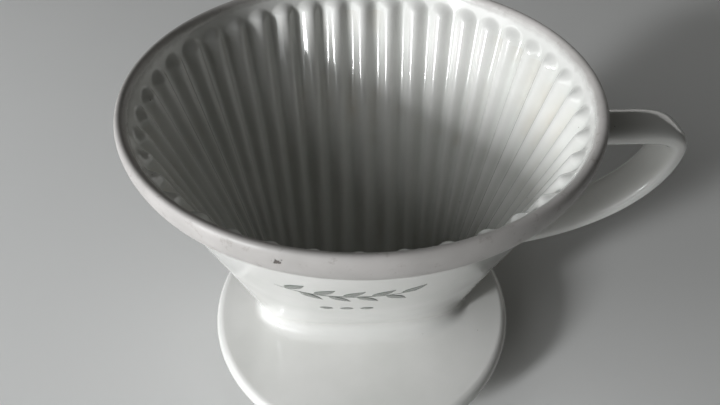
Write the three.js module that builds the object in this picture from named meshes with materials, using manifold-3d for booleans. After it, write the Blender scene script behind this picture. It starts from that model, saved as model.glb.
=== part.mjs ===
// A porcelain pour-over coffee dripper: a ribbed wedge-shaped funnel with a rolled rim, a strap handle,
// and a round saucer flange with a locating ring under it, which drops into the mouth of a mug or server.
// Millimetres, +Z up. The origin is the bottom centre of the bounding box, on the surface that the
// locating ring stands on. The handle points along +X, and the slot in the funnel's floor runs along X.
import * as THREE from "three";
import { mergeVertices } from "three/addons/utils/BufferGeometryUtils.js";
import Module from "manifold-3d";

// ---- Driving dimensions ----
const RIM_RADIUS = 60; // widest point of the rim bead
const RIM_WIDEST_Z = 107.7;
const TOTAL_HEIGHT = 110;
const BEAD_BOTTOM_Z = 102.2; // where the bead's undercut meets the funnel wall
const BEAD_BOTTOM_RADIUS = 57.9;
const INNER_TOP_RADIUS = 57; // inner edge of the rim, at the height of its widest point
const OUTER_TOP_RADIUS = 56.8; // outside of the wall just under the bead

const FLANGE_RADIUS = 53.3;
const FLANGE_BOTTOM_Z = 11;
const FLANGE_THICKNESS = 6;
const FLOOR_Z = FLANGE_BOTTOM_Z + FLANGE_THICKNESS; // top of the flange, and floor of the funnel
const SEAT_INNER_RADIUS = 32; // inside of the flat seat under the flange, where the mug's lip lies
const UNDERSIDE_RISE = 0.2; // the underside is arched by this much inside the seat
const RING_OUTER_RADIUS = 31;
const RING_INNER_RADIUS = 26;

const SLOT = { halfLength: 32, halfWidth: 5 }; // inside foot of the funnel wall, at the floor
const FOOT = { halfLength: 36, halfWidth: 13.3 }; // its outside, a rounded oblong
const FOOT_SQUARENESS = 3; // 2 would be an ellipse
const FILLET = { side: 3.5, front: 8 }; // where the wall flares out onto the flange

const RIB_COUNT = 40;
const RIB_HEIGHT = 2.4;
const RIB_PHASE = THREE.MathUtils.degToRad(-2.25); // the ribs sit a little off the handle's direction
const RIB_END_Z = 106.4; // the ribs' rounded upper ends
const RIB_FULL_Z = 103.1;

const HOLE_COUNT = 3;
const HOLE_RADIUS = 2.5;
const HOLE_PITCH = 15;

const HANDLE_WIDTH = 13; // across the upper strap
const HANDLE_ROOT_WIDTH = 14.5; // across the lower strap, where it meets the wall
const HANDLE_THICKNESS = 5.8;
const HANDLE_REACH = 90.8; // from the funnel's axis to the outside of the bend
const HANDLE_TOP_Z = 92.3; // centre line of the upper strap
const HANDLE_BEND_Z = 86.5; // height of the bend's outermost point
const HANDLE_ROOT_Z = 51; // centre line of the lower strap where it meets the wall
const JOINT_GAP = 0.3; // between the handle's cut ends and the wall

const AXIS_X = (RIM_RADIUS - HANDLE_REACH) / 2; // the funnel's axis, so that the whole object is centred

// ---- Resolution ----
const STEPS_PER_RIB = 4;
const AROUND = RIB_COUNT * STEPS_PER_RIB;
const LATHE_SEGMENTS = 72;
const HOLE_SEGMENTS = 20;
const HANDLE_STEPS = 28;
const SECTION_POINTS = 16;

const wasm = await Module();
wasm.setup();

// ---- Materials ----
const glaze = () => new THREE.MeshStandardMaterial({ color: 0xe9e8e4, roughness: 0.12, metalness: 0 });
const bareRim = () => new THREE.MeshStandardMaterial({ color: 0xd9d2cc, roughness: 0.5, metalness: 0 });

// ---- The funnel's surfaces ----
const angles = Array.from({ length: AROUND }, (_, i) => (2 * Math.PI * i) / AROUND + RIB_PHASE);

// A point on the rounded slot outline. The hyperbolic tangent crowds the points of an even turn
// towards the two ends, so that the ribs run nearly parallel at the front and back of the funnel
// and fan together at its sides.
const CROWDING = 1.36;
const SQUARENESS = 4;
function slotPoint(angle) {
  const share = Math.tanh(CROWDING * Math.cos(angle)) / Math.tanh(CROWDING);
  const x = SLOT.halfLength * share;
  const y = SLOT.halfWidth * (1 - Math.abs(share) ** SQUARENESS) ** (1 / SQUARENESS);
  return new THREE.Vector2(x, Math.sin(angle) < 0 ? -y : y);
}

// Turns a sine or cosine into the one of a superellipse, which is squarer than an ellipse.
function squarer(value, squareness) {
  return Math.sign(value) * Math.abs(value) ** (2 / squareness);
}

function footPoint(angle) {
  const x = FOOT.halfLength * squarer(Math.cos(angle), FOOT_SQUARENESS);
  const y = FOOT.halfWidth * squarer(Math.sin(angle), FOOT_SQUARENESS);
  return new THREE.Vector2(x, y);
}

// A horizontal section of the ruled surface from an outline on the floor to a circle at topZ.
function section(footOutline, topRadius, topZ, z) {
  const rise = (z - FLOOR_Z) / (topZ - FLOOR_Z);
  return angles.map((angle) => {
    const onCircle = new THREE.Vector2(Math.cos(angle), Math.sin(angle)).multiplyScalar(topRadius);
    return footOutline(angle).lerp(onCircle, rise);
  });
}

// The outward direction at point i of a closed section.
function outward(points, i) {
  const n = points.length;
  const along = points[(i + 1) % n].clone().sub(points[(i + n - 1) % n]);
  return new THREE.Vector2(along.y, -along.x).normalize();
}

// Moves each point of a section outwards by amount(i), and lifts it to height z.
function ring(points, z, amount) {
  return points.map((point, i) => {
    const moved = point.clone().addScaledVector(outward(points, i), amount(i));
    return new THREE.Vector3(moved.x, moved.y, z);
  });
}

// Rib height at height z: a quarter-ellipse dome at the upper end, fading with the rib spacing below.
function ribReach(points, z, i) {
  if (z >= RIB_END_Z) return 0;
  const intoDome = Math.max(0, (z - RIB_FULL_Z) / (RIB_END_Z - RIB_FULL_Z));
  const dome = Math.sqrt(1 - intoDome ** 2);
  const n = points.length;
  const spacing = points[(i + 2) % n].distanceTo(points[(i + n - 2) % n]);
  const topSpacing = (2 * Math.PI * INNER_TOP_RADIUS) / RIB_COUNT;
  const crest = 0.5 + 0.5 * Math.cos((2 * Math.PI * i) / STEPS_PER_RIB);
  return RIB_HEIGHT * dome * crest * Math.min(1, spacing / topSpacing);
}

function innerRing(z) {
  const points = section(slotPoint, INNER_TOP_RADIUS, RIM_WIDEST_Z, z);
  return ring(points, z, (i) => -ribReach(points, z, i));
}

// How far a fillet of this radius stands out from the wall at a height above the floor.
function flare(radius, height) {
  const below = Math.max(0, radius - height);
  return radius - Math.sqrt(radius ** 2 - below ** 2);
}

function outerRing(z, offset = 0) {
  const points = section(footPoint, OUTER_TOP_RADIUS, BEAD_BOTTOM_Z, z);
  const radius = (i) => THREE.MathUtils.lerp(FILLET.side, FILLET.front, Math.sin(angles[i]) ** 2);
  return ring(points, z, (i) => flare(radius(i), z - FLOOR_Z) + offset);
}

function circleRing(radius, z) {
  return angles.map((angle) => new THREE.Vector3(radius * Math.cos(angle), radius * Math.sin(angle), z));
}

// Joins rings of equal length into a closed skin. Each ring turns anticlockwise as seen from the one
// after it. With wrap, the last ring joins the first; without it, a fan closes each end.
function loft(rings, wrap) {
  const count = rings[0].length;
  const index = [];
  const joins = wrap ? rings.length : rings.length - 1;
  for (let k = 0; k < joins; k++) {
    const a = k * count;
    const b = ((k + 1) % rings.length) * count;
    for (let i = 0; i < count; i++) {
      const j = (i + 1) % count;
      index.push(a + i, a + j, b + j, a + i, b + j, b + i);
    }
  }
  const last = (rings.length - 1) * count;
  for (let i = 1; !wrap && i < count - 1; i++) {
    index.push(0, i + 1, i, last, last + i, last + i + 1);
  }
  const geometry = new THREE.BufferGeometry();
  const positions = rings.flat().flatMap((point) => point.toArray());
  geometry.setAttribute("position", new THREE.Float32BufferAttribute(positions, 3));
  geometry.setIndex(index);
  return geometry;
}

// ---- Booleans ----
function toSolid(geometry) {
  const bare = geometry.clone();
  bare.deleteAttribute("normal");
  bare.deleteAttribute("uv");
  const merged = mergeVertices(bare, 1e-4);
  const mesh = new wasm.Mesh({
    numProp: 3,
    vertProperties: merged.attributes.position.array,
    triVerts: new Uint32Array(merged.index.array),
  });
  return new wasm.Manifold(mesh);
}

function toGeometry(solid) {
  const mesh = solid.getMesh();
  const geometry = new THREE.BufferGeometry();
  geometry.setAttribute("position", new THREE.BufferAttribute(mesh.vertProperties, 3));
  geometry.setIndex(new THREE.BufferAttribute(mesh.triVerts, 1));
  return geometry;
}

// A solid of revolution about Z from [radius, z] pairs.
function turned(profile) {
  const points = profile.map(([radius, z]) => new THREE.Vector2(radius, z));
  return new THREE.LatheGeometry(points, LATHE_SEGMENTS).rotateX(Math.PI / 2);
}

// An arc of [radius, z] pairs, angles in degrees from the outward direction.
function arc(centreRadius, centreZ, arcRadius, from, to, steps) {
  return Array.from({ length: steps + 1 }, (_, i) => {
    const angle = THREE.MathUtils.degToRad(from + ((to - from) * i) / steps);
    return [centreRadius + arcRadius * Math.cos(angle), centreZ + arcRadius * Math.sin(angle)];
  });
}

// ---- Sub-parts ----

// The wedge-shaped wall, open at both ends, with its ribs inside.
function funnelWall() {
  const innerHeights = [BEAD_BOTTOM_Z, 96, 74, 45, FLOOR_Z];
  const outerHeights = [FLOOR_Z, FLOOR_Z + 0.7, FLOOR_Z + 2.8, FLOOR_Z + FILLET.front, 60, BEAD_BOTTOM_Z];
  const rings = [...innerHeights.map(innerRing), ...outerHeights.map((z) => outerRing(z))];
  return new THREE.Mesh(loft(rings, true), glaze());
}

// The rolled rim: the top of the inner face with the ribs' domed ends, the crest, and the bead outside.
function rimBead() {
  const bead = [
    [BEAD_BOTTOM_RADIUS, BEAD_BOTTOM_Z],
    [58.8, 103],
    [59.5, 104.8],
    [RIM_RADIUS, RIM_WIDEST_Z],
    [59.7, 109.2],
    [58.8, TOTAL_HEIGHT],
    [57.7, 109.2],
  ];
  const ribEnds = [RIM_WIDEST_Z, RIB_END_Z, RIB_END_Z - 0.4, RIB_FULL_Z, BEAD_BOTTOM_Z];
  const rings = [...bead.map(([radius, z]) => circleRing(radius, z)), ...ribEnds.map(innerRing)];
  return new THREE.Mesh(loft(rings, true), bareRim());
}

// The saucer that rests on the mug, with its rounded edge and the drip holes through its middle.
function saucerFlange() {
  const half = FLANGE_THICKNESS / 2;
  const edge = arc(FLANGE_RADIUS - half, FLANGE_BOTTOM_Z + half, half, -90, 90, 6);
  const underside = [[0, FLANGE_BOTTOM_Z + UNDERSIDE_RISE], [SEAT_INNER_RADIUS, FLANGE_BOTTOM_Z]];
  const disc = toSolid(turned([...underside, ...edge, [0, FLOOR_Z]]));
  const drill = new THREE.CylinderGeometry(HOLE_RADIUS, HOLE_RADIUS, 3 * FLANGE_THICKNESS, HOLE_SEGMENTS);
  drill.rotateX(Math.PI / 2);
  const places = Array.from({ length: HOLE_COUNT }, (_, i) => (i - (HOLE_COUNT - 1) / 2) * HOLE_PITCH);
  const drills = places.map((x) => toSolid(drill.clone().translate(x, 0, FLOOR_Z)));
  const drilled = drills.reduce((solid, hole) => solid.subtract(hole), disc);
  return new THREE.Mesh(toGeometry(drilled), glaze());
}

// The ring under the saucer that centres it in the mug's mouth, and that it stands on.
function locatingRing() {
  const round = 1.5;
  const profile = [
    [RING_INNER_RADIUS, FLANGE_BOTTOM_Z],
    ...arc(RING_INNER_RADIUS + round, round, round, 180, 270, 3),
    ...arc(RING_OUTER_RADIUS - round, round, round, 270, 360, 3),
    [RING_OUTER_RADIUS, FLANGE_BOTTOM_Z],
    [RING_INNER_RADIUS, FLANGE_BOTTOM_Z],
  ];
  return new THREE.Mesh(turned(profile), glaze());
}

// The handle's centre line: a level upper strap, a bend, and a long sweep back to the wall.
function handlePath() {
  const bendX = HANDLE_REACH - HANDLE_THICKNESS / 2;
  const point = (x, z) => new THREE.Vector3(x, 0, z);
  const start = point(50, HANDLE_TOP_Z);
  const bendStart = point(75, HANDLE_TOP_Z);
  const bend = point(bendX, HANDLE_BEND_Z);
  const root = point(38, HANDLE_ROOT_Z);
  const path = new THREE.CurvePath();
  path.add(new THREE.LineCurve3(start, bendStart));
  path.add(new THREE.CubicBezierCurve3(bendStart, point(83, HANDLE_TOP_Z), point(bendX, 91.5), bend));
  path.add(new THREE.CubicBezierCurve3(bend, point(bendX, 73), point(74, 55.5), root));
  return path;
}

// The strap's section at a share of the way along the path: a superellipse that widens to the root.
const STRAP_SQUARENESS = 2.6;
function strapRing(path, share) {
  const centre = path.getPointAt(share);
  const along = path.getTangentAt(share);
  const through = new THREE.Vector3(-along.z, 0, along.x);
  const width = THREE.MathUtils.lerp(HANDLE_WIDTH, HANDLE_ROOT_WIDTH, share ** 2);
  return Array.from({ length: SECTION_POINTS }, (_, i) => {
    const angle = (2 * Math.PI * i) / SECTION_POINTS;
    const depth = (HANDLE_THICKNESS / 2) * squarer(Math.sin(angle), STRAP_SQUARENESS);
    const point = centre.clone().addScaledVector(through, depth);
    point.y += (width / 2) * squarer(Math.cos(angle), STRAP_SQUARENESS);
    return point;
  });
}

function handle() {
  const path = handlePath();
  const shares = Array.from({ length: HANDLE_STEPS + 1 }, (_, i) => i / HANDLE_STEPS);
  const strap = toSolid(loft(shares.map((share) => strapRing(path, share)), false));
  const heights = [FLOOR_Z + FILLET.front, 60, BEAD_BOTTOM_Z];
  const wall = toSolid(loft(heights.map((z) => outerRing(z, JOINT_GAP)), false));
  return new THREE.Mesh(toGeometry(strap.subtract(wall)), glaze());
}

// ---- Assembly ----
const dripper = new THREE.Group();
dripper.position.x = AXIS_X;
const subParts = {
  funnel_wall: funnelWall(),
  rim_bead: rimBead(),
  handle: handle(),
  saucer_flange: saucerFlange(),
  locating_ring: locatingRing(),
};
for (const [name, mesh] of Object.entries(subParts)) {
  mesh.name = name;
  dripper.add(mesh);
}

export default dripper;
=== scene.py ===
"""A white porcelain pour-over dripper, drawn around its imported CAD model.

It is one glazed body made of five joined pieces: a ribbed wedge-shaped funnel wall, a rolled rim, a
strap handle, a saucer flange and the locating ring under it. A small printed motif is on its front.
Lengths are millimetres in the part's own frame, and add_piece turns them into metres.
"""

import math

import bpy
import numpy as np
from mathutils import Matrix, Vector


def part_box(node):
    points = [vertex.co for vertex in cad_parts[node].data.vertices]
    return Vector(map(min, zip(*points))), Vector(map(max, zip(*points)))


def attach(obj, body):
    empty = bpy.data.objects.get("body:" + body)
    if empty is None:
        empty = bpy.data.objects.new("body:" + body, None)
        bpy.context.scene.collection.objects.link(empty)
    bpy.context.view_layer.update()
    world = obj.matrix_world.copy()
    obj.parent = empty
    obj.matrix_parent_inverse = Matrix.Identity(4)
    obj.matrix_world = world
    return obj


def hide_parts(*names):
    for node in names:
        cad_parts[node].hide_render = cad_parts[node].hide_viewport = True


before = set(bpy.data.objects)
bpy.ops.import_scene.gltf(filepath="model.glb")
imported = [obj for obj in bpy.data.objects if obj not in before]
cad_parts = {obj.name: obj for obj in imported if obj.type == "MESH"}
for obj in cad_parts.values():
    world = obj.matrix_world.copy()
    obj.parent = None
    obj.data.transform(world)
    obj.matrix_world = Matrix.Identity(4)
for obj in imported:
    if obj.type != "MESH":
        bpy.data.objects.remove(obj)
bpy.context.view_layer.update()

MM = 0.001


def node_box(node):
    """The low and high corners of a CAD node's box, in millimetres."""
    low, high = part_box(node)
    return np.array(low) / MM, np.array(high) / MM


# ---- Driving dimensions, from the CAD nodes ----
RIM_LOW, RIM_HIGH = node_box("rim_bead")
FLANGE_LOW, FLANGE_HIGH = node_box("saucer_flange")
RING_LOW, RING_HIGH = node_box("locating_ring")
HANDLE_HIGH = node_box("handle")[1]

AXIS_X = (RIM_LOW[0] + RIM_HIGH[0]) / 2
RIM_RADIUS = (RIM_HIGH[0] - RIM_LOW[0]) / 2
TOTAL_HEIGHT = RIM_HIGH[2]
BEAD_BOTTOM_Z = RIM_LOW[2]
FLANGE_RADIUS = (FLANGE_HIGH[0] - FLANGE_LOW[0]) / 2
FLANGE_BOTTOM_Z = FLANGE_LOW[2]
FLOOR_Z = FLANGE_HIGH[2]
RING_OUTER_RADIUS = (RING_HIGH[0] - RING_LOW[0]) / 2
HANDLE_REACH = HANDLE_HIGH[0] - AXIS_X

# ---- The funnel, as in the CAD model ----
RIM_WIDEST_Z = TOTAL_HEIGHT - 2.3
BEAD_BOTTOM_RADIUS = RIM_RADIUS - 2.1
INNER_TOP_RADIUS = RIM_RADIUS - 3  # of the wall's inside, at the height of the rim's widest point
OUTER_TOP_RADIUS = RIM_RADIUS - 3.2  # of the wall's outside, just under the bead
SLOT_HALF_LENGTH = 32  # inside foot of the wall, on the floor
SLOT_HALF_WIDTH = 5
SLOT_SQUARENESS = 4
CROWDING = 1.36  # how far the ribs crowd towards the two ends of the slot
FOOT_HALF_LENGTH = 36  # outside foot of the wall, on the flange
FOOT_HALF_WIDTH = 13.3
FOOT_SQUARENESS = 3  # 2 would be an ellipse
FILLET_SIDE = 3.5  # where the wall flares out onto the flange
FILLET_FRONT = 8
FLOOR_FILLET = 1
COVE = 0.8  # radius in the corner under the bead
CREST_INSET = 1.3  # from the rim's widest point in to its highest
BEAD_TURN_INSET = 0.7  # where the bead starts to turn in, towards its lower edge
BEAD_TURN_RISE = 1.7

RIB_COUNT = 40
RIB_HEIGHT = 2.4
RIB_PHASE = math.radians(-2.25)  # the ribs sit a little off the handle's direction
RIB_FULL_Z = RIM_WIDEST_Z - 4.6  # the rounded upper ends start here
RIB_END_Z = RIM_WIDEST_Z - 1.3
RIB_DOME_POWER = 1.15  # above 1, a rib keeps its height longer before it ends
RIB_FULLNESS = 1.08  # above 1, a rib's crest is broader than the groove beside it
COLUMNS_PER_RIB = 20
COLUMNS = RIB_COUNT * COLUMNS_PER_RIB
ANGLES = np.arange(COLUMNS) * 2 * math.pi / COLUMNS + RIB_PHASE
CIRCLE = np.column_stack((np.cos(ANGLES), np.sin(ANGLES)))

# ---- The handle, as in the CAD model ----
HANDLE_WIDTH = 13  # at the upper root
HANDLE_ROOT_WIDTH = 14.5  # at the lower root
HANDLE_THICKNESS = 5.8
HANDLE_TOP_Z = HANDLE_HIGH[2] - HANDLE_THICKNESS / 2  # centre line of the level top
HANDLE_BEND_Z = HANDLE_TOP_Z - 5.8  # height of the outermost point
HANDLE_ROOT_Z = HANDLE_TOP_Z - 41.3  # centre line at the lower root
STRAP_START = 50  # from the axis, inside the wall
STRAP_TOP_END = 75  # from the axis, where the level top starts to bend
STRAP_END = 38  # from the axis, inside the wall
STRAP_SQUARENESS = 2.6


# ---- Mesh helpers ----
def lerp(a, b, share):
    """The value at a share of the way from a to b."""
    return a + (b - a) * share


def bezier(points, steps):
    """Points along a cubic Bezier curve, both ends included."""
    t = np.linspace(0, 1, steps + 1)[:, None]
    a, b, c, d = (np.array(point, float) for point in points)
    return (1 - t) ** 3 * a + 3 * (1 - t) ** 2 * t * b + 3 * (1 - t) * t**2 * c + t**3 * d


def arc(centre, radius, start, end, steps):
    """Points on an arc, angles in degrees from +X, both ends included."""
    angles = np.radians(np.linspace(start, end, steps + 1))
    return np.array(centre) + radius * np.column_stack((np.cos(angles), np.sin(angles)))


def join_runs(*runs):
    """One outline from runs that each start where the last one ended."""
    return np.vstack([runs[0]] + [run[1:] for run in runs[1:]])


def grid_normals(rings):
    """Outward unit normals of rings that run up the inside of a body and down its outside."""
    around = np.roll(rings, -1, axis=1) - np.roll(rings, 1, axis=1)
    along = np.gradient(rings, axis=0)
    normals = np.cross(along, around)
    return normals / np.linalg.norm(normals, axis=2, keepdims=True)


def quads(rows, columns, wrap):
    """Faces of a closed grid of rings, as a (joins, columns, 4) array of vertex numbers."""
    joins = rows if wrap else rows - 1
    start = np.arange(joins)[:, None] * columns
    after = (np.arange(1, joins + 1)[:, None] % rows) * columns
    i = np.arange(columns)[None, :]
    j = (i + 1) % columns
    return np.stack((start + i, after + i, after + j, start + j), axis=2)


def add_piece(name, points, faces, material, nodes=()):
    """Makes a smooth mesh object on the root body, which stands for these CAD nodes if given."""
    mesh = bpy.data.meshes.new(name)
    mesh.from_pydata((np.asarray(points) * MM).tolist(), [], faces)
    mesh.shade_smooth()
    mesh.materials.append(material)
    piece = bpy.data.objects.new(name, mesh)
    bpy.context.scene.collection.objects.link(piece)
    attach(piece, "root")
    if nodes:
        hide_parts(*nodes)
    return piece


def store_groove_depth(piece, values):
    """Keeps a number for each vertex, from 0 on a rib's crest to 1 in a groove, for the materials."""
    layer = piece.data.attributes.new("groove", "FLOAT", "POINT")
    layer.data.foreach_set("value", np.asarray(values, np.float32).ravel())


def wrapped_skin(name, rings, normals, groove, material, slot, node):
    """A ring-shaped piece of the body. Its last join, back to the first ring, is a hidden flat cap."""
    rows, columns, _ = rings.shape
    faces = quads(rows, columns, True)
    points = rings.reshape(-1, 3)
    piece = add_piece(name, points, faces.reshape(-1, 4).tolist(), material, (node,))
    corner_normals = normals.reshape(-1, 3)[faces]
    cap = points[faces[-1]]
    flat = np.cross(cap[:, 1] - cap[:, 0], cap[:, 3] - cap[:, 0])
    corner_normals[-1] = (flat / np.linalg.norm(flat, axis=1, keepdims=True))[:, None, :]
    piece.data.normals_split_custom_set(corner_normals.reshape(-1, 3).tolist())
    store_groove_depth(piece, groove)


def end_caps(rows, columns):
    """The two faces that close a run of rings."""
    last = (rows - 1) * columns
    return [list(range(columns)), list(range(last + columns - 1, last - 1, -1))]


def revolve(outline, segments, x=AXIS_X, wrap=False):
    """Points and faces of a body of revolution. Its outline runs up any inside, then down the outside."""
    angles = np.arange(segments) * 2 * math.pi / segments
    radius = outline[:, 0][:, None]
    height = np.repeat(outline[:, 1][:, None], segments, axis=1)
    points = np.stack((x + radius * np.cos(angles), radius * np.sin(angles), height), axis=2)
    faces = quads(len(outline), segments, wrap).reshape(-1, 4).tolist()
    if not wrap:
        faces += end_caps(len(outline), segments)
    return points.reshape(-1, 3), faces


# ---- The funnel wall and the rim, as one run of rings ----
def section(foot, top_radius, top_z, z):
    """A level section of the straight-sided surface from a floor outline to a circle at top_z."""
    return lerp(foot, top_radius * CIRCLE, (z - FLOOR_Z) / (top_z - FLOOR_Z))


def squarer(value, squareness):
    """Turns a sine or cosine into the one of a superellipse, which is squarer than an ellipse."""
    return np.sign(value) * np.abs(value) ** (2 / squareness)


def outward(points):
    """Outward unit normals of a level outline."""
    along = np.roll(points, -1, axis=0) - np.roll(points, 1, axis=0)
    normals = np.column_stack((along[:, 1], -along[:, 0]))
    return normals / np.linalg.norm(normals, axis=1, keepdims=True)


def flare(radius, height):
    """How far a fillet of this radius stands out from a wall, at a height above its foot."""
    below = np.maximum(0, radius - height)
    return radius - np.sqrt(radius**2 - below**2)


def slot_outline():
    """The inside foot of the wall: a rounded slot, with its points crowded towards its two ends."""
    share = np.tanh(CROWDING * CIRCLE[:, 0]) / math.tanh(CROWDING)
    half = SLOT_HALF_WIDTH * (1 - np.abs(share) ** SLOT_SQUARENESS) ** (1 / SLOT_SQUARENESS)
    return np.column_stack((SLOT_HALF_LENGTH * share, np.sign(CIRCLE[:, 1]) * half))


def rib_height(points, z):
    """Height of the ribs at each point of a section, and how deep in a groove it is, from 0 to 1."""
    across = np.abs((np.arange(COLUMNS) / COLUMNS_PER_RIB + 0.5) % 1 - 0.5) * 2
    into_dome = max(0, (z - RIB_FULL_Z) / (RIB_END_Z - RIB_FULL_Z)) ** RIB_DOME_POWER
    from_crest = np.minimum(1, np.sqrt(across**2 + into_dome**2))
    profile = 0.5 + 0.5 * np.cos(math.pi * from_crest**RIB_FULLNESS)
    half = COLUMNS_PER_RIB // 2
    pitch = np.linalg.norm(np.roll(points, -half, axis=0) - np.roll(points, half, axis=0), axis=1)
    top_pitch = 2 * math.pi * INNER_TOP_RADIUS / RIB_COUNT
    groove = (1 - profile) * (1 if z < RIB_FULL_Z else max(0, 1 - into_dome))
    return RIB_HEIGHT * profile * np.minimum(1, pitch / top_pitch), groove


def level(points, z):
    """A ring of 3-D points from an outline around the axis."""
    return np.column_stack((points[:, 0] + AXIS_X, points[:, 1], np.full(COLUMNS, z)))


def inner_ring(z):
    """The ribbed inside at a height, and how deep in a groove each of its points is."""
    points = section(slot_outline(), INNER_TOP_RADIUS, RIM_WIDEST_Z, z)
    height, groove = rib_height(points, z)
    inwards = height + flare(FLOOR_FILLET, z - FLOOR_Z)
    return level(points - outward(points) * inwards[:, None], z), groove


def outer_ring(z):
    """The smooth outside at a height, with its fillet onto the flange and the cove under the bead."""
    foot = squarer(CIRCLE, FOOT_SQUARENESS) * (FOOT_HALF_LENGTH, FOOT_HALF_WIDTH)
    points = section(foot, OUTER_TOP_RADIUS, BEAD_BOTTOM_Z, z)
    fillet = lerp(FILLET_SIDE, FILLET_FRONT, CIRCLE[:, 1] ** 2)
    stand_out = flare(fillet, z - FLOOR_Z) + flare(COVE, BEAD_BOTTOM_Z - z)
    return level(points + outward(points) * stand_out[:, None], z)


def crest_outline():
    """The rolled rim in [radius, z], from the top of the inner face to the bead's lower edge.

    Each curve's two middle points, given from its ends, set how full the roll is.
    """
    inside = (INNER_TOP_RADIUS, RIM_WIDEST_Z)
    top = (RIM_RADIUS - CREST_INSET, TOTAL_HEIGHT)
    widest = (RIM_RADIUS, RIM_WIDEST_Z)
    turn = (RIM_RADIUS - BEAD_TURN_INSET, BEAD_BOTTOM_Z + BEAD_TURN_RISE)
    edge = (BEAD_BOTTOM_RADIUS, BEAD_BOTTOM_Z)
    return join_runs(
        bezier((inside, (inside[0] + 0.2, inside[1] + 1.4), (top[0] - 0.9, top[1]), top), 10),
        bezier((top, (top[0] + 0.8, top[1]), (widest[0], widest[1] + 1.3), widest), 10),
        bezier((widest, (widest[0], widest[1] - 1.6), (turn[0] + 0.4, turn[1] + 1.1), turn), 6),
        bezier((turn, (turn[0] - 0.35, turn[1] - 0.8), (edge[0] + 0.6, edge[1]), edge), 6),
    )


def body_rings():
    """Every ring of the body, from the floor inside, over the rim, to the flange outside.

    It also gives the groove depths, and the numbers of the two rings where the wall and the rim meet.
    """
    above_floor = np.concatenate(([0, 0.15, 0.4, 1], np.linspace(3, BEAD_BOTTOM_Z - FLOOR_Z, 42)))
    wall_heights = FLOOR_Z + above_floor
    dome_heights = np.linspace(BEAD_BOTTOM_Z, RIB_END_Z, 17)[1:]
    land_heights = np.linspace(RIB_END_Z, RIM_WIDEST_Z, 4)[1:-1]
    inside = [inner_ring(z) for z in np.concatenate((wall_heights, dome_heights, land_heights))]
    crest = [level(radius * CIRCLE, z) for radius, z in crest_outline()]
    cove_heights = BEAD_BOTTOM_Z - COVE * (1 - np.cos(np.radians([0, 30, 50, 70, 90])))
    fillet_heights = FLOOR_Z + FILLET_FRONT * (1 - np.sin(np.radians(np.linspace(0, 90, 19))))
    side_heights = np.linspace(cove_heights[-1], fillet_heights[0], 16)[1:-1]
    outside = [outer_ring(z) for z in np.concatenate((cove_heights, side_heights, fillet_heights))]
    rings = np.array([ring for ring, _ in inside] + crest + outside)
    groove = np.zeros(rings.shape[:2])
    groove[: len(inside)] = [depth for _, depth in inside]
    seam = len(wall_heights) - 1
    bead_edge = len(inside) + len(crest) - 1
    return rings, groove, seam, bead_edge


def add_body(wall_material, rim_material):
    """The wall and the rim. Both take their normals from one run, so that no seam shows inside."""
    rings, groove, seam, bead_edge = body_rings()
    inside_and_rim = grid_normals(rings[: bead_edge + 1])
    outside = grid_normals(rings[bead_edge + 1 :])
    normals = np.concatenate((inside_and_rim, outside))

    def part(ring_numbers):
        return rings[ring_numbers], normals[ring_numbers], groove[ring_numbers]

    wall = np.r_[bead_edge + 1 : len(rings), 0 : seam + 1]
    rim = np.r_[seam : bead_edge + 1]
    wrapped_skin("ribbed_wall", *part(wall), wall_material, "white_glaze", "funnel_wall")
    wrapped_skin("rolled_rim", *part(rim), rim_material, "bare_rim", "rim_bead")


# ---- The saucer flange and its ring ----
CREASE_ANGLE = math.radians(40)
HOLE_COUNT = 3
HOLE_RADIUS = 2.5
HOLE_PITCH = 15
HOLE_ROUNDING = 0.8
DRILL_OVERSHOOT = 1
RING_THICKNESS = 5
RING_ROUND = 1.5
RING_FILLET = 2


def hole_cutter(x):
    """A drill for one drip hole at x from the axis, flared at both ends to leave rounded edges."""
    wide = HOLE_RADIUS + HOLE_ROUNDING
    upper = arc((wide, FLOOR_Z - HOLE_ROUNDING), HOLE_ROUNDING, 90, 180, 6)
    lower = arc((wide, FLANGE_BOTTOM_Z + HOLE_ROUNDING), HOLE_ROUNDING, 180, 270, 6)
    start = (wide, FLOOR_Z + DRILL_OVERSHOOT)
    end = (wide, FLANGE_BOTTOM_Z - DRILL_OVERSHOOT)
    outline = np.vstack((start, upper, lower, end))
    points, faces = revolve(outline, 48, AXIS_X + x)
    mesh = bpy.data.meshes.new("drip_hole")
    mesh.from_pydata((points * MM).tolist(), [], faces)
    cutter = bpy.data.objects.new("drip_hole", mesh)
    bpy.context.scene.collection.objects.link(cutter)
    return cutter


def drill(piece, cutter):
    """Cuts the cutter out of a piece, and removes the cutter."""
    cut = piece.modifiers.new("cut", "BOOLEAN")
    cut.object = cutter
    cut.solver = "EXACT"
    evaluated = piece.evaluated_get(bpy.context.evaluated_depsgraph_get())
    drilled = bpy.data.meshes.new_from_object(evaluated)
    piece.modifiers.remove(cut)
    piece.data = drilled
    bpy.data.objects.remove(cutter)


def add_flange(material):
    """The saucer, a disc with a round edge and three drip holes."""
    half = (FLOOR_Z - FLANGE_BOTTOM_Z) / 2
    outline = arc((FLANGE_RADIUS - half, FLANGE_BOTTOM_Z + half), half, 90, -90, 24)
    points, faces = revolve(outline, 192)
    piece = add_piece("saucer", points, faces, material, ("saucer_flange",))
    for i in range(HOLE_COUNT):
        drill(piece, hole_cutter((i - (HOLE_COUNT - 1) / 2) * HOLE_PITCH))
    piece.data.shade_smooth()
    piece.data.set_sharp_from_angle(angle=CREASE_ANGLE)
    piece.modifiers.new("flat_faces", "WEIGHTED_NORMAL").keep_sharp = True


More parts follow.
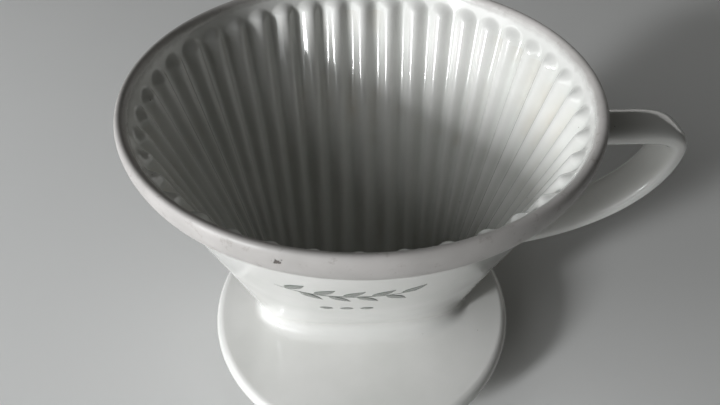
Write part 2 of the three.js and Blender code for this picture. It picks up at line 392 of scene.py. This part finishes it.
def add_ring(material):
    """The locating ring, with a rounded foot and a fillet onto the saucer on both sides."""
    inner = RING_OUTER_RADIUS - RING_THICKNESS
    root = FLANGE_BOTTOM_Z - RING_FILLET
    outline = np.vstack((
        arc((RING_OUTER_RADIUS + RING_FILLET, root), RING_FILLET, 90, 180, 8),
        arc((RING_OUTER_RADIUS - RING_ROUND, RING_ROUND), RING_ROUND, 0, -90, 8),
        arc((inner + RING_ROUND, RING_ROUND), RING_ROUND, -90, -180, 8),
        arc((inner - RING_FILLET, root), RING_FILLET, 0, 90, 8),
    ))
    points, faces = revolve(outline, 160, wrap=True)
    piece = add_piece("foot_ring", points, faces, material, ("locating_ring",))
    piece.data.set_sharp_from_angle(angle=CREASE_ANGLE)


# ---- The handle ----
STRAP_COLUMNS = 56
STRAP_ROWS = 110
FILLET_ROWS = 9
UPPER_ROOT_FILLET = 2.6
LOWER_ROOT_FILLET = 3.6
HALVINGS = 40
GRADIENT_STEP = 1e-3


def wall_reach(share, foot_half, z):
    """How far out the funnel's outside is on one axis, for the sine or cosine of a point's angle."""
    foot = foot_half * squarer(share, FOOT_SQUARENESS)
    return lerp(foot, OUTER_TOP_RADIUS * share, (z - FLOOR_Z) / (BEAD_BOTTOM_Z - FLOOR_Z))


def wall_across(place, foot_half, z, foot_half_across):
    """How far out the outside is on one axis at a place on the other one. It is found by halving."""
    low = np.zeros(np.shape(place))
    high = np.ones(np.shape(place))
    for _ in range(HALVINGS):
        middle = (low + high) / 2
        short = wall_reach(middle, foot_half, z) < np.abs(place)
        low = np.where(short, middle, low)
        high = np.where(short, high, middle)
    return wall_reach(np.sqrt(1 - high**2), foot_half_across, z)


def beyond_wall(points):
    """Distance along X beyond the funnel's outside, below 0 inside it. Points are from the axis."""
    x, y, z = (points[..., k] for k in range(3))
    return x - wall_across(y, FOOT_HALF_WIDTH, z, FOOT_HALF_LENGTH)


def wall_gradient(points):
    """How fast beyond_wall changes along each axis."""
    steps = GRADIENT_STEP * np.eye(3)
    changes = [beyond_wall(points + step) - beyond_wall(points - step) for step in steps]
    return np.stack(changes, axis=-1) / (2 * GRADIENT_STEP)


def wall_normal(points):
    """Outward unit normals of the funnel's outside."""
    gradient = wall_gradient(points)
    return gradient / np.linalg.norm(gradient, axis=-1, keepdims=True)


def onto_wall(points):
    """Moves points near the funnel's outside onto it."""
    for _ in range(4):
        gradient = wall_gradient(points)
        share = beyond_wall(points) / np.sum(gradient**2, axis=-1)
        points = points - gradient * share[..., None]
    return points


def handle_path():
    """The strap's centre line as [x, z] from the axis: a level top, a bend and a sweep to the wall.

    The two middle points of each curve set how tight the bend is, and how full the sweep.
    """
    bend_x = HANDLE_REACH - HANDLE_THICKNESS / 2
    start = (STRAP_START, HANDLE_TOP_Z)
    bend_start = (STRAP_TOP_END, HANDLE_TOP_Z)
    bend = (bend_x, HANDLE_BEND_Z)
    root = (STRAP_END, HANDLE_ROOT_Z)
    return join_runs(
        np.linspace(start, bend_start, 80),
        bezier((bend_start, (83, HANDLE_TOP_Z), (bend_x, HANDLE_TOP_Z - 0.8), bend), 300),
        bezier((bend, (bend_x, HANDLE_BEND_Z - 13.5), (74, HANDLE_ROOT_Z + 4.5), root), 300),
    )


class Strap:
    """The lines that run along the strap, one for each point of its superellipse section."""

    def __init__(self):
        self.path = handle_path()
        steps = np.linalg.norm(np.diff(self.path, axis=0), axis=1)
        self.length = steps.sum()
        self.shares = np.concatenate(([0], np.cumsum(steps))) / self.length
        along = np.gradient(self.path, self.shares, axis=0)
        self.along = along / np.linalg.norm(along, axis=1, keepdims=True)
        turn = -np.arange(STRAP_COLUMNS) * 2 * math.pi / STRAP_COLUMNS
        self.across = squarer(np.cos(turn), STRAP_SQUARENESS)
        self.through = squarer(np.sin(turn), STRAP_SQUARENESS)

    def at(self, shares):
        """Points of every line, each at its own share of the way along, and their section's normals."""
        x, z = (np.interp(shares, self.shares, self.path[:, k]) for k in (0, 1))
        along_x, along_z = (np.interp(shares, self.shares, self.along[:, k]) for k in (0, 1))
        half_width = lerp(HANDLE_WIDTH, HANDLE_ROOT_WIDTH, shares**2) / 2
        half_depth = HANDLE_THICKNESS / 2
        points = np.stack(
            (
                x - along_z * half_depth * self.through,
                half_width * self.across,
                z + along_x * half_depth * self.through,
            ),
            axis=-1,
        )
        power = STRAP_SQUARENESS - 1
        level_part = np.sign(self.across) * np.abs(self.across) ** power / half_width
        deep_part = np.sign(self.through) * np.abs(self.through) ** power / half_depth
        normals = np.stack((-along_z * deep_part, level_part, along_x * deep_part), axis=-1)
        return points, normals / np.linalg.norm(normals, axis=-1, keepdims=True)

    def root(self, inside, outside):
        """Where each line meets the wall, by halving between a share inside it and one outside."""
        inside = np.full(STRAP_COLUMNS, float(inside))
        outside = np.full(STRAP_COLUMNS, float(outside))
        for _ in range(HALVINGS):
            middle = (inside + outside) / 2
            hidden = beyond_wall(self.at(middle)[0]) < 0
            inside = np.where(hidden, middle, inside)
            outside = np.where(hidden, outside, middle)
        return outside

    def fillet(self, root, radius, sign):
        """Rings that turn from the wall out into the strap, and the share where the strap starts."""
        start = root + sign * radius / self.length
        corner, out = self.at(root)
        normal = wall_normal(corner)
        spread = out - np.sum(out * normal, axis=1, keepdims=True) * normal
        spread /= np.linalg.norm(spread, axis=1, keepdims=True)
        foot = onto_wall(corner + radius * spread)
        strap = self.at(start)[0]
        t = np.linspace(0, 1, FILLET_ROWS)[:, None, None]
        rings = (1 - t) ** 2 * foot + 2 * (1 - t) * t * corner + t**2 * strap
        return rings, start


def add_handle(material):
    """The strap, with a fillet at both roots. The caps on its two ends are hidden in the wall."""
    strap = Strap()
    upper, first = strap.fillet(strap.root(inside=0, outside=0.2), UPPER_ROOT_FILLET, 1)
    lower, last = strap.fillet(strap.root(inside=1, outside=0.7), LOWER_ROOT_FILLET, -1)
    way = np.linspace(0, 1, STRAP_ROWS)[1:-1]
    between = np.array([strap.at(lerp(first, last, share))[0] for share in way])
    rings = np.concatenate((upper, between, lower[::-1]))
    normals = grid_normals(rings)
    normals[0] = wall_normal(rings[0])
    normals[-1] = wall_normal(rings[-1])
    rows, columns, _ = rings.shape
    faces = quads(rows, columns, False)
    points = rings.reshape(-1, 3) + (AXIS_X, 0, 0)
    all_faces = faces.reshape(-1, 4).tolist() + end_caps(rows, columns)
    piece = add_piece("strap_handle", points, all_faces, material, ("handle",))
    corner_normals = normals.reshape(-1, 3)[faces.reshape(-1)]
    cap_normals = np.repeat([-normals[0].mean(axis=0), -normals[-1].mean(axis=0)], columns, axis=0)
    piece.data.normals_split_custom_set(np.concatenate((corner_normals, cap_normals)).tolist())


# ---- The printed motif ----
MOTIF_X = -5.2  # from the axis
MOTIF_Z = 76.8
STEM_LENGTH = 33.5
STEM_SAG = 3.5  # the stem's ends stand this much above its middle
STEM_WIDTH = 1.1
STEM_FULLNESS = 1.02  # a little over 1, so that the stem's tips keep some width
LEAF_COUNT = 9
LEAF_LENGTH = 8.5
LEAF_WIDTH = 3.2
LEAF_TURN = math.radians(52)  # from the stem
LEAF_SPAN = STEM_LENGTH - 6  # from the first leaf to the last
LEAF_MIDDLE = 0.52  # share of the leaves' span that is left of the stem's middle
LEAF_BLUNTNESS = 0.8  # below 1, a leaf is widest near the stem
LEAF_TIP = 0.02  # share left off at each end, so that no face shrinks to a line
BERRY_TIP = 0.08  # the same for a dot, in radians
BERRY_COUNT = 3
BERRY_PITCH = 5.5
BERRY_RADIUS = 1.8
BERRY_DROP = 18
PRINT_THICKNESS = 0.06


def on_front(flat):
    """Puts [across, up] points on the front of the funnel's outside."""
    x = flat[..., 0] + MOTIF_X
    z = flat[..., 1] + MOTIF_Z
    y = -wall_across(x, FOOT_HALF_LENGTH, z, FOOT_HALF_WIDTH)
    return np.stack((x + AXIS_X, y, z), axis=-1)


def stem_height(x):
    """How far the stem stands above its middle."""
    return STEM_SAG * (2 * x / STEM_LENGTH) ** 2


def stem():
    """A (rows, columns, 2) patch: a thin bowed line, tapered at both ends."""
    x = np.linspace(-1, 1, 49)[:, None] * STEM_LENGTH / 2
    half = STEM_WIDTH / 2 * (STEM_FULLNESS - (2 * x / STEM_LENGTH) ** 2)
    height = stem_height(x) + half * np.array((-1, 0, 1))
    return np.stack(np.broadcast_arrays(x, height), axis=-1)


def leaf(x, side):
    """A pointed leaf that leaves the stem at x, on its upper side or its lower one."""
    t = np.linspace(LEAF_TIP, 1 - LEAF_TIP, 21)[:, None]
    across = LEAF_WIDTH / 2 * np.sin(math.pi * t**LEAF_BLUNTNESS) * np.linspace(-1, 1, 5)
    c, s = math.cos(LEAF_TURN * side), math.sin(LEAF_TURN * side)
    along = np.broadcast_to(t * LEAF_LENGTH, across.shape)
    leaf_x = x + along * c - across * s
    return np.stack((leaf_x, stem_height(x) + along * s + across * c), axis=-1)


def berry(x):
    """A round dot below the stem, built of chords across it."""
    turn = np.linspace(BERRY_TIP, math.pi - BERRY_TIP, 25)[:, None]
    across = BERRY_RADIUS * np.sin(turn) * np.linspace(-1, 1, 5)
    along = np.broadcast_to(BERRY_RADIUS * np.cos(turn), across.shape)
    return np.stack((x + along, across - BERRY_DROP), axis=-1)


def motif_patches():
    """The stem, its leaves on alternate sides, and the row of dots."""
    yield stem()
    for i in range(LEAF_COUNT):
        side = 1 - 2 * (i % 2)
        yield leaf((i / (LEAF_COUNT - 1) - LEAF_MIDDLE) * LEAF_SPAN, side)
    for i in range(BERRY_COUNT):
        yield berry((i - (BERRY_COUNT - 1) / 2) * BERRY_PITCH)


def add_motif(ink):
    """The motif as one thin skin, half of it standing proud of the glaze."""
    points, faces = [], []
    for patch in motif_patches():
        rows, columns, _ = patch.shape
        first = sum(len(run) for run in points)
        numbers = first + np.arange(rows * columns).reshape(rows, columns)
        points.append(on_front(patch).reshape(-1, 3))
        corners = (numbers[:-1, :-1], numbers[1:, :-1], numbers[1:, 1:], numbers[:-1, 1:])
        faces += np.stack(corners, axis=-1).reshape(-1, 4).tolist()
    piece = add_piece("printed_motif", np.vstack(points), faces, ink)
    skin = piece.modifiers.new("thickness", "SOLIDIFY")
    skin.thickness = PRINT_THICKNESS * MM
    skin.offset = 0


# ---- Materials ----
GLAZE_COLOURS = (0.75, 0.75, 0.725), (0.81, 0.805, 0.785)
# greyer, greener glaze for the grooves: pooled glaze with painted shade
POOLED_GLAZE_AND_SHADE = (0.62, 0.64, 0.60)
GROOVE_SHADE_AND_STAIN = 0.35  # share of the pooled glaze with its painted shade, or of coffee stain, at the bottom of a groove
COFFEE_STAIN = (0.50, 0.40, 0.28)
GLAZE_SPECK = (0.18, 0.13, 0.09)
SPECK_STRENGTH = 0.8
GLAZE_IOR = 1.52
BARE_COLOURS = (0.45, 0.435, 0.42), (0.54, 0.52, 0.505)
WORN_BARE = (0.34, 0.315, 0.295)
BARE_SPECK = (0.20, 0.14, 0.10)
BARE_START = (RIM_RADIUS - 2.9) * MM  # from the axis: the glaze thins out between these two
BARE_FULL = (RIM_RADIUS - 2.3) * MM
RAGGEDNESS = 0.6 * MM  # of the glaze's edge, on the rim and on the foot
CHIP_COLOUR = (0.10, 0.085, 0.075)
CHIP_STRENGTH = 0.85
CHIP_REACH = 0.8
CHIP_DEPTH = 0.15
PINHOLE_DEPTH = 0.03
CHIP_AZIMUTH = math.radians(-106.5)  # from +X, so a little left of the front
CHIP_PLACE = (
    AXIS_X + RIM_RADIUS * math.cos(CHIP_AZIMUTH),
    RIM_RADIUS * math.sin(CHIP_AZIMUTH),
    RIM_WIDEST_Z - 0.3,
)
FIRED_FOOT_COLOURS = (0.58, 0.50, 0.41), (0.74, 0.67, 0.58)
FOOT_EDGE_BLEND = 0.2 * MM
INK_COLOURS = (0.13, 0.15, 0.13), (0.18, 0.20, 0.18)
GLAZE_THROUGH_INK = (0.72, 0.73, 0.70)
INK_WEAR = 0.6
FLOOR_COLOURS = (0.80, 0.80, 0.79), (0.85, 0.85, 0.84)


class Nodes:
    """Adds shader nodes to one material, and links them."""

    def __init__(self, name):
        self.material = bpy.data.materials.new(name)
        self.material.use_nodes = True
        self.tree = self.material.node_tree
        self.shader = self.tree.nodes["Principled BSDF"]
        self.place = self.add("ShaderNodeTexCoord").outputs["Object"]

    def add(self, kind, inputs=None, **settings):
        node = self.tree.nodes.new(kind)
        for key, value in settings.items():
            setattr(node, key, value)
        for key, value in (inputs or {}).items():
            if isinstance(value, bpy.types.NodeSocket):
                self.tree.links.new(value, node.inputs[key])
            else:
                node.inputs[key].default_value = value
        return node

    def noise(self, scale, detail=3, roughness=0.5):
        inputs = {"Vector": self.place, "Scale": scale, "Detail": detail, "Roughness": roughness}
        return self.add("ShaderNodeTexNoise", inputs).outputs["Fac"]

    def remap(self, value, low, high, to_low=0, to_high=1):
        """Maps low to to_low and high to to_high, and holds the result between them."""
        limits = {"From Min": low, "From Max": high, "To Min": to_low, "To Max": to_high}
        return self.add("ShaderNodeMapRange", {"Value": value, **limits}).outputs["Result"]

    def maths(self, operation, a, b):
        return self.add("ShaderNodeMath", {0: a, 1: b}, operation=operation).outputs["Value"]

    def mix(self, share, a, b):
        node = self.add("ShaderNodeMix", data_type="RGBA")
        for key, value in ((0, share), (6, a), (7, b)):
            if isinstance(value, bpy.types.NodeSocket):
                self.tree.links.new(value, node.inputs[key])
            else:
                node.inputs[key].default_value = value if key == 0 else (*value, 1)
        return node.outputs[2]

    def mottle(self, colours, scale):
        """Soft blotches of two colours."""
        return self.mix(self.remap(self.noise(scale, 4), 0.35, 0.65), *colours)

    def from_axis(self):
        """Distance from the funnel's axis, in metres."""
        flat = self.add("ShaderNodeVectorMath", {0: self.place, 1: (1, 1, 0)}, operation="MULTIPLY")
        shift = {0: flat.outputs["Vector"], 1: (AXIS_X * MM, 0, 0)}
        centred = self.add("ShaderNodeVectorMath", shift, operation="SUBTRACT").outputs["Vector"]
        return self.add("ShaderNodeVectorMath", {0: centred}, operation="LENGTH").outputs["Value"]

    def height(self, axis):
        return self.add("ShaderNodeSeparateXYZ", {"Vector": self.place}).outputs[axis]

    def specks(self, scale, size, share):
        """1 inside small round specks, in that share of the cells of a Voronoi pattern."""
        cells = self.add("ShaderNodeTexVoronoi", {"Vector": self.place, "Scale": scale})
        inside = self.remap(cells.outputs["Distance"], size, size * 0.6)
        chance = self.add("ShaderNodeSeparateColor", {"Color": cells.outputs["Color"]}).outputs["Red"]
        return self.maths("MULTIPLY", inside, self.maths("LESS_THAN", chance, share))

    def near(self, point, reach):
        """1 at a point of the part, falling unevenly to 0 a reach away from it, in millimetres."""
        spot = {0: self.place, 1: tuple(value * MM for value in point)}
        distance = self.add("ShaderNodeVectorMath", spot, operation="DISTANCE").outputs["Value"]
        ragged = self.remap(self.noise(1500, 4), 0.3, 0.7, 0.5, 2.2)
        uneven = self.maths("MULTIPLY", distance, ragged)
        return self.remap(uneven, reach * MM, reach * 0.7 * MM)

    def bump(self, height, depth, normal=None):
        """The normal over a relief of this depth in millimetres, laid over another normal if given."""
        inputs = {"Height": height, "Distance": depth * MM, "Strength": 1.0}
        if normal is not None:
            inputs["Normal"] = normal
        return self.add("ShaderNodeBump", inputs).outputs["Normal"]

    def finish(self, colour, roughness, normal):
        """Links the three results to the shader, and gives the material."""
        for key, value in (("Base Color", colour), ("Roughness", roughness), ("Normal", normal)):
            self.tree.links.new(value, self.shader.inputs[key])
        return self.material


def groove_depth(n):
    """The number that store_groove_depth keeps."""
    return n.add("ShaderNodeAttribute", attribute_name="groove").outputs["Fac"]


def glaze_colour(n):
    """Milk-white with slow blotches, and greyer in a groove, with pooled glaze and painted shade."""
    # painted shade: greyer towards the bottom of each groove, as pooled glaze and the shade in it
    groove_shade = n.maths("MULTIPLY", groove_depth(n), GROOVE_SHADE_AND_STAIN)
    return n.mix(groove_shade, n.mottle(GLAZE_COLOURS, 40), POOLED_GLAZE_AND_SHADE)


def glaze_normal(n, wave, peel):
    """The slow waves, fine orange peel and pinholes of a fired glaze, with depths in millimetres."""
    waves = n.bump(n.noise(110, 2), wave)
    fine = n.bump(n.noise(900, 2), peel, waves)
    pinholes = n.maths("SUBTRACT", 1.0, n.specks(scale=160, size=0.05, share=0.3))
    return n.bump(pinholes, PINHOLE_DEPTH, fine)


def specked(n, colour, scale, size, share, speck_colour):
    """A colour with small dark specks in it."""
    strength = n.maths("MULTIPLY", n.specks(scale, size, share), SPECK_STRENGTH)
    return n.mix(strength, colour, speck_colour)


def white_glaze():
    """Glossy white glaze, greyer in the grooves with pooled glaze and painted shade, with faint coffee
    stains there and a few dark specks.
    """
    n = Nodes("white_glaze")
    patches = n.remap(n.noise(28, 5, 0.6), 0.5, 0.75)
    stain = n.maths("MULTIPLY", patches, n.maths("MULTIPLY", groove_depth(n), GROOVE_SHADE_AND_STAIN))
    stained = n.mix(stain, glaze_colour(n), COFFEE_STAIN)
    colour = specked(n, stained, scale=210, size=0.035, share=0.22, speck_colour=GLAZE_SPECK)
    roughness = n.remap(n.noise(75, 4), 0.3, 0.7, 0.07, 0.15)
    n.shader.inputs["IOR"].default_value = GLAZE_IOR
    return n.finish(colour, roughness, glaze_normal(n, wave=0.012, peel=0.0012))


def rim_glaze():
    """White glaze inside, up to a ragged line on the crest, and the bare satin body outside it."""
    n = Nodes("rim_glaze")
    wear = n.remap(n.noise(420, 5, 0.7), 0.58, 0.78)
    bare_body = n.mix(wear, n.mottle(BARE_COLOURS, 55), WORN_BARE)
    line = n.maths("ADD", n.from_axis(), n.maths("MULTIPLY", n.noise(300), RAGGEDNESS))
    bare = n.remap(line, BARE_START, BARE_FULL)
    both = n.mix(bare, glaze_colour(n), bare_body)
    whole = specked(n, both, scale=240, size=0.05, share=0.3, speck_colour=BARE_SPECK)
    chipped = n.near(CHIP_PLACE, CHIP_REACH)
    colour = n.mix(n.maths("MULTIPLY", chipped, CHIP_STRENGTH), whole, CHIP_COLOUR)
    satin = n.remap(n.noise(120, 4), 0.3, 0.7, 0.38, 0.52)
    glossy = n.remap(bare, 0, 1, 0.1, 0)
    roughness = n.maths("ADD", n.maths("MULTIPLY", bare, satin), glossy)
    surface = glaze_normal(n, wave=0.01, peel=0.002)
    pitted = n.bump(n.maths("SUBTRACT", 1.0, chipped), CHIP_DEPTH, surface)
    return n.finish(colour, roughness, pitted)


def foot_glaze():
    """White glaze that stops just above the foot, where the bare fired body shows."""
    n = Nodes("foot_glaze")
    bare = n.mix(n.noise(900, 4, 0.7), *FIRED_FOOT_COLOURS)
    ragged = n.maths("MULTIPLY", n.noise(260), RAGGEDNESS)
    edge = n.maths("SUBTRACT", n.height("Z"), ragged)
    glazed = n.remap(edge, 0, FOOT_EDGE_BLEND)
    colour = n.mix(glazed, bare, n.mottle(GLAZE_COLOURS, 40))
    roughness = n.remap(glazed, 0, 1, 0.8, 0.12)
    return n.finish(colour, roughness, n.bump(n.noise(700), 0.01))


def print_ink():
    """Grey-green ceramic ink under the glaze, worn thin in places."""
    n = Nodes("print_ink")
    wear = n.remap(n.noise(450, 5, 0.7), 0.58, 0.72, 0, INK_WEAR)
    colour = n.mix(wear, n.mix(n.noise(600, 4), *INK_COLOURS), GLAZE_THROUGH_INK)
    roughness = n.remap(n.noise(300), 0.3, 0.7, 0.12, 0.22)
    return n.finish(colour, roughness, n.bump(n.noise(900, 2), 0.002))


def stage_material():
    """A pale, matt floor."""
    n = Nodes("pale_floor")
    colour = n.mix(n.noise(3, 5), *FLOOR_COLOURS)
    roughness = n.remap(n.noise(30, 4), 0.3, 0.7, 0.82, 0.9)
    return n.finish(colour, roughness, n.bump(n.noise(400), 0.01))


# ---- Camera, light and stage ----
CAMERA_PLACE = (AXIS_X - 3.8, -120.2, 183.6)
CAMERA_ELEVATION = math.radians(44.57)  # how far it looks down
CAMERA_YAW = math.radians(-1.59)
CAMERA_ROLL = -0.005
LENS = 27.25
SENSOR = 36
NEAREST = 10 * MM  # nothing closer than this is drawn

FLOOR_HALF = 4000
DAYLIGHT = (0.97, 0.985, 1.0)
WARM_LIGHT = (1.0, 0.99, 0.97)
WORLD_COLOUR = (0.93, 0.94, 0.86)
WORLD_STRENGTH = 0.035
EXPOSURE = 0.2
GAMMA = 0.86


def add_camera():
    """The camera, in front of the funnel and above it, looking down into it."""
    forward = Vector((0, math.cos(CAMERA_ELEVATION), -math.sin(CAMERA_ELEVATION)))
    up = Vector((0, math.sin(CAMERA_ELEVATION), math.cos(CAMERA_ELEVATION)))
    side = Vector((1, 0, 0))
    right = math.cos(CAMERA_ROLL) * side + math.sin(CAMERA_ROLL) * up
    up = math.cos(CAMERA_ROLL) * up - math.sin(CAMERA_ROLL) * side
    data = bpy.data.cameras.new("camera")
    data.lens = LENS
    data.sensor_width = SENSOR
    data.clip_start = NEAREST
    camera = bpy.data.objects.new("camera", data)
    tilt = Matrix((right, up, -forward)).transposed().to_4x4()
    turn = Matrix.Rotation(CAMERA_YAW, 4, "Z") @ tilt
    camera.matrix_world = Matrix.Translation(Vector(CAMERA_PLACE) * MM) @ turn
    bpy.context.scene.collection.objects.link(camera)
    bpy.context.scene.camera = camera


def add_softbox(name, azimuth, elevation, distance, size, power, colour):
    """A rectangular area light that faces the funnel's mouth, sized and placed in metres.

    Azimuth 0 is in front, and 90 is on the handle's side.
    """
    a, e = math.radians(azimuth), math.radians(elevation)
    back = Vector((math.sin(a) * math.cos(e), -math.cos(a) * math.cos(e), math.sin(e)))
    data = bpy.data.lights.new(name, "AREA")
    data.shape = "RECTANGLE"
    data.size, data.size_y = size
    data.energy = power
    data.color = colour
    light = bpy.data.objects.new(name, data)
    light.location = Vector((AXIS_X * MM, 0, RIM_WIDEST_Z * MM)) + back * distance
    light.rotation_mode = "QUATERNION"
    light.rotation_quaternion = back.to_track_quat("Z", "Y")
    bpy.context.scene.collection.objects.link(light)


def add_stage():
    """The floor that the dripper stands on."""
    corners = np.array([(-1, -1, 0), (1, -1, 0), (1, 1, 0), (-1, 1, 0)]) * FLOOR_HALF * MM
    mesh = bpy.data.meshes.new("floor")
    mesh.from_pydata(corners.tolist(), [], [(0, 1, 2, 3)])
    mesh.materials.append(stage_material())
    floor = bpy.data.objects.new("floor", mesh)
    bpy.context.scene.collection.objects.link(floor)


def add_lights():
    """A low window at the front left with a softer, wider one around it, and a weak fill behind."""
    add_softbox("window", -54, 15, distance=1.3, size=(0.13, 0.26), power=11, colour=DAYLIGHT)
    add_softbox("soft_window", -64, 25, distance=1.6, size=(2.0, 1.0), power=13, colour=DAYLIGHT)
    add_softbox("back_fill", 140, 8, distance=1.6, size=(1.4, 0.5), power=2.2, colour=WARM_LIGHT)
    world = bpy.data.worlds.new("studio")
    world.use_nodes = True
    background = world.node_tree.nodes["Background"]
    background.inputs["Color"].default_value = (*WORLD_COLOUR, 1)
    background.inputs["Strength"].default_value = WORLD_STRENGTH
    bpy.context.scene.world = world
    view = bpy.context.scene.view_settings
    view.view_transform = "Standard"
    view.exposure = EXPOSURE
    view.gamma = GAMMA


add_camera()
glaze = white_glaze()
add_body(glaze, rim_glaze())
add_handle(glaze)
add_flange(glaze)
add_ring(foot_glaze())
add_motif(print_ink())
add_stage()
add_lights()
